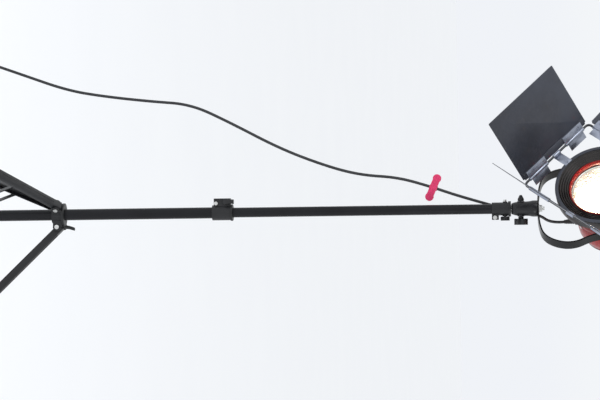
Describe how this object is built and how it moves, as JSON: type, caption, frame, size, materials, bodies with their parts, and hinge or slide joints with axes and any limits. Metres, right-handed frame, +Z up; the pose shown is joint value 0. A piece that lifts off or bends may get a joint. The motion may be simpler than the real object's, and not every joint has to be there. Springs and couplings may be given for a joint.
{
  "type": "studio lamp on stand",
  "caption": "Open-face halogen studio lamp with a red housing and folding barn doors, tilting in a strip yoke on a telescopic three-leg stand, with its mains cord.",
  "frame": {"origin": "on the column's axis at floor level, under the stand", "axes": "+Z up along the column, -Y towards the person in front of the lamp, +X to that person's right"},
  "size_m": [1.1496, 0.9671, 2.0165],
  "materials": {
    "tube_black": "satin black powder coat",
    "leg_black": "satin black paint on pressed aluminium",
    "clamp_plastic": "matt black moulded plastic",
    "receiver_black": "satin black die casting",
    "bright_steel": "zinc-plated fasteners",
    "foot_rubber": "matt black rubber",
    "yoke_black": "satin black paint on steel strip",
    "housing_red": "glossy red enamel on aluminium",
    "ring_black": "satin black",
    "reflector_metal": "peened bright aluminium",
    "lamp_quartz": "clear quartz tube",
    "lamp_ceramic": "unglazed ceramic",
    "carriage_steel": "plain steel",
    "switch_plastic": "glossy black plastic",
    "gland_rubber": "matt black rubber",
    "door_black": "satin anthracite paint on sheet aluminium",
    "hinge_steel": "bright hinge plate",
    "cord_rubber": "black rubber mains cord",
    "plug_plastic": "black moulded plug",
    "tag_fabric": "crimson hook-and-loop strap"
  },
  "bodies": {
    "stand_base": {"lower_tube": "tube_black", "tube_end_cap": "clamp_plastic", "brace_hub": "clamp_plastic", "hub_pins": "bright_steel", "lower_clamp": "clamp_plastic", "lower_clamp_screws": "bright_steel", "cord_lower": "cord_rubber", "cord_coil": "cord_rubber", "cord_tail": "cord_rubber", "mains_plug": "plug_plastic"},
    "leg_collar": {"leg_collar": "clamp_plastic", "leg_rivets": "bright_steel"},
    "collar_knob": {"collar_knob": "clamp_plastic"},
    "leg_1": {"leg_1": "leg_black", "foot_1": "foot_rubber"},
    "leg_2": {"leg_2": "leg_black", "foot_2": "foot_rubber"},
    "leg_3": {"leg_3": "leg_black", "foot_3": "foot_rubber"},
    "brace_1": {"brace_1": "leg_black"},
    "brace_2": {"brace_2": "leg_black"},
    "brace_3": {"brace_3": "leg_black"},
    "lower_clamp_lever": {"lower_clamp_lever": "clamp_plastic"},
    "mid_column": {"mid_tube": "tube_black", "upper_clamp": "clamp_plastic", "upper_clamp_screws": "bright_steel", "cord_tag": "tag_fabric"},
    "upper_clamp_knob": {"upper_clamp_knob": "clamp_plastic"},
    "top_column": {"top_tube": "tube_black", "spigot": "bright_steel", "cord_middle": "cord_rubber"},
    "yoke": {"receiver": "receiver_black", "yoke": "yoke_black", "yoke_bolt": "bright_steel", "cord_upper": "cord_rubber"},
    "receiver_screw": {"receiver_screw": "clamp_plastic"},
    "receiver_knob": {"receiver_knob": "clamp_plastic"},
    "head": {"housing_front": "housing_red", "housing_rear": "housing_red", "rear_cover": "ring_black", "front_ring": "ring_black", "reflector": "reflector_metal", "head_fasteners": "bright_steel", "rear_handle": "clamp_plastic", "cable_gland": "gland_rubber"},
    "tilt_knob": {"tilt_knob": "clamp_plastic"},
    "focus_knob": {"focus_knob": "clamp_plastic"},
    "lamp_carriage": {"lamp_carriage": "carriage_steel", "lamp_holders": "lamp_ceramic", "lamp_tube": "lamp_quartz"},
    "rocker_switch": {"rocker_switch": "switch_plastic"},
    "barn_doors": {"door_frame": "door_black"},
    "side_leaf_near": {"side_leaf_near": "door_black", "side_leaf_near_hinges": "hinge_steel"},
    "wide_leaf_near": {"wide_leaf_near": "door_black", "wide_leaf_near_hinges": "hinge_steel"},
    "side_leaf_far": {"side_leaf_far": "door_black", "side_leaf_far_hinges": "hinge_steel"},
    "wide_leaf_far": {"wide_leaf_far": "door_black", "wide_leaf_far_hinges": "hinge_steel"}
  },
  "joints": [
    {"name": "collar_slide", "type": "slide", "parent": "stand_base", "child": "leg_collar", "axis": [0, 0, 1], "range_m": [0, 0.1376]},
    {"name": "leg_1_fold", "type": "hinge", "parent": "leg_collar", "child": "leg_1", "pos_m": [0.02954, -0.00521, 0.51612], "axis": [0.1736, 0.9848, 0], "range_deg": [0, 45.2]},
    {"name": "brace_1_fold", "type": "hinge", "parent": "stand_base", "child": "brace_1", "pos_m": [0.01871, -0.0033, 0.2681], "axis": [0.1736, 0.9848, 0], "range_deg": [-51.9, 0]},
    {"name": "leg_2_fold", "type": "hinge", "parent": "leg_collar", "child": "leg_2", "pos_m": [-0.01026, 0.02819, 0.51612], "axis": [-0.9397, -0.342, 0], "range_deg": [0, 45.2]},
    {"name": "brace_2_fold", "type": "hinge", "parent": "stand_base", "child": "brace_2", "pos_m": [-0.0065, 0.01785, 0.2681], "axis": [-0.9397, -0.342, 0], "range_deg": [-51.9, 0]},
    {"name": "leg_3_fold", "type": "hinge", "parent": "leg_collar", "child": "leg_3", "pos_m": [-0.01928, -0.02298, 0.51612], "axis": [0.766, -0.6428, 0], "range_deg": [0, 45.2]},
    {"name": "brace_3_fold", "type": "hinge", "parent": "stand_base", "child": "brace_3", "pos_m": [-0.01221, -0.01456, 0.2681], "axis": [0.766, -0.6428, 0], "range_deg": [-51.9, 0]},
    {"name": "collar_knob_turn", "type": "hinge", "parent": "leg_collar", "child": "collar_knob", "pos_m": [0.02298, 0.01928, 0.52412], "axis": [0.766, 0.6428, 0], "range_deg": [-120, 120]},
    {"name": "lower_clamp_lever_turn", "type": "hinge", "parent": "stand_base", "child": "lower_clamp_lever", "pos_m": [-0.025, -0.014, 0.901], "axis": [0, 1, 0], "range_deg": [-120, 0]},
    {"name": "mid_column_slide", "type": "slide", "parent": "stand_base", "child": "mid_column", "axis": [0, 0, 1], "range_m": [-0.545, 0.03], "deforming": ["cord_lower"]},
    {"name": "upper_clamp_knob_turn", "type": "hinge", "parent": "mid_column", "child": "upper_clamp_knob", "pos_m": [0.017, 0, 1.523], "axis": [1, 0, 0], "range_deg": [-180, 180]},
    {"name": "top_column_slide", "type": "slide", "parent": "mid_column", "child": "top_column", "axis": [0, 0, 1], "range_m": [0, 0.58], "deforming": ["cord_middle"]},
    {"name": "yoke_pan", "type": "hinge", "parent": "top_column", "child": "yoke", "pos_m": [0, 0, 1.56], "axis": [0, 0, 1], "continuous": true, "deforming": ["cord_upper"]},
    {"name": "receiver_screw_turn", "type": "hinge", "parent": "yoke", "child": "receiver_screw", "pos_m": [-0.017, 0, 1.558], "axis": [-1, 0, 0], "range_deg": [-180, 180]},
    {"name": "receiver_knob_turn", "type": "hinge", "parent": "yoke", "child": "receiver_knob", "pos_m": [0.017, 0, 1.558], "axis": [1, 0, 0], "range_deg": [-180, 180]},
    {"name": "head_tilt", "type": "hinge", "parent": "yoke", "child": "head", "pos_m": [0, 0, 1.74775], "axis": [0.7965, -0.6046, 0], "range_deg": [-46, 5], "deforming": ["cord_upper"]},
    {"name": "tilt_knob_turn", "type": "hinge", "parent": "head", "child": "tilt_knob", "pos_m": [0.06771, -0.05139, 1.74775], "axis": [0.7965, -0.6046, 0], "range_deg": [-180, 180]},
    {"name": "focus_turn", "type": "hinge", "parent": "head", "child": "focus_knob", "pos_m": [0.05395, 0.07107, 1.7595], "axis": [-0.5994, -0.7897, -0.1305], "range_deg": [-172, 138]},
    {"name": "lamp_focus_slide", "type": "slide", "parent": "head", "child": "lamp_carriage", "axis": [-0.5994, -0.7897, -0.1305], "range_m": [-0.0095, 0.0075]},
    {"name": "switch_rock", "type": "hinge", "parent": "head", "child": "rocker_switch", "pos_m": [0.05244, 0.06908, 1.72487], "axis": [0.7965, -0.6046, 0], "range_deg": [-8, 8]},
    {"name": "door_turn", "type": "hinge", "parent": "head", "child": "barn_doors", "pos_m": [-0.05035, -0.06634, 1.73679], "axis": [-0.5994, -0.7897, -0.1305], "range_deg": [-45, 45]},
    {"name": "side_leaf_near_fold", "type": "hinge", "parent": "barn_doors", "child": "side_leaf_near", "pos_m": [-0.11949, -0.00514, 1.63811], "axis": [-0.6364, 0.3713, 0.6762], "range_deg": [-62, 68]},
    {"name": "wide_leaf_near_fold", "type": "hinge", "parent": "barn_doors", "child": "wide_leaf_near", "pos_m": [0.01287, -0.11006, 1.66501], "axis": [-0.4855, 0.4884, -0.7251], "range_deg": [-65, 25]},
    {"name": "side_leaf_far_fold", "type": "hinge", "parent": "barn_doors", "child": "side_leaf_far", "pos_m": [0.0116, -0.137, 1.83389], "axis": [0.6364, -0.3713, -0.6762], "range_deg": [-50, 80]},
    {"name": "wide_leaf_far_fold", "type": "hinge", "parent": "barn_doors", "child": "wide_leaf_far", "pos_m": [-0.12077, -0.03209, 1.807], "axis": [0.4855, -0.4884, 0.7251], "range_deg": [-5, 85]}
  ],
  "couplings": [
    {"joint": "leg_1_fold", "follows": "collar_slide", "rad_per_m": 5.7057},
    {"joint": "leg_2_fold", "follows": "collar_slide", "rad_per_m": 5.7057},
    {"joint": "leg_3_fold", "follows": "collar_slide", "rad_per_m": 5.7057},
    {"joint": "brace_1_fold", "follows": "collar_slide", "rad_per_m": -6.5477},
    {"joint": "brace_2_fold", "follows": "collar_slide", "rad_per_m": -6.5477},
    {"joint": "brace_3_fold", "follows": "collar_slide", "rad_per_m": -6.5477},
    {"joint": "focus_turn", "follows": "lamp_focus_slide", "rad_per_m": 314.16}
  ]
}
